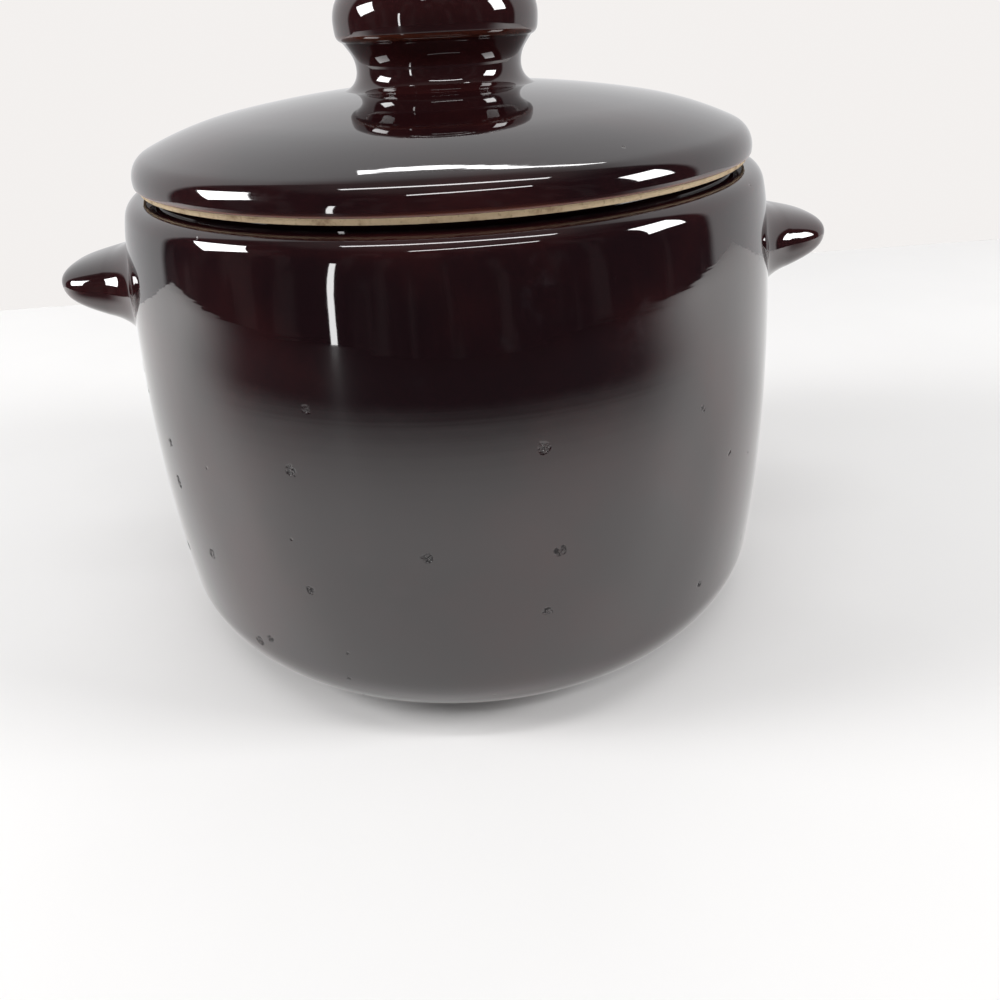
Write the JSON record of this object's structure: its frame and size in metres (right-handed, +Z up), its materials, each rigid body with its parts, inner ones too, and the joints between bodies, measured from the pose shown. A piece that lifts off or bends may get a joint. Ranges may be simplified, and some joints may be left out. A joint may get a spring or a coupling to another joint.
{
  "type": "stoneware bean pot",
  "caption": "Round brown-glazed stoneware bean pot with two side lugs and a loose domed lid that lifts off by a knob.",
  "frame": {"origin": "centre of the foot ring on the plane that the pot stands on", "axes": "+Z up along the pot's axis, X through the two lugs"},
  "size_m": [0.2116, 0.1804, 0.1696],
  "materials": {
    "pot_glaze": "high gloss dark red-brown glaze, bare tan clay on the foot ring",
    "lug_glaze": "high gloss dark red-brown glaze",
    "lid_glaze": "high gloss dark red-brown glaze, bare tan clay on the rim band and collar",
    "knob_glaze": "high gloss dark red-brown glaze, amber where it breaks over the edge under the head"
  },
  "bodies": {
    "pot": {"pot_body": "pot_glaze", "lug_left": "lug_glaze", "lug_right": "lug_glaze"},
    "lid": {"lid": "lid_glaze", "lid_knob": "knob_glaze"}
  },
  "joints": [
    {"name": "lid_lift", "type": "slide", "parent": "pot", "child": "lid", "axis": [0, 0, 1], "range_m": [0, 0.1]}
  ]
}
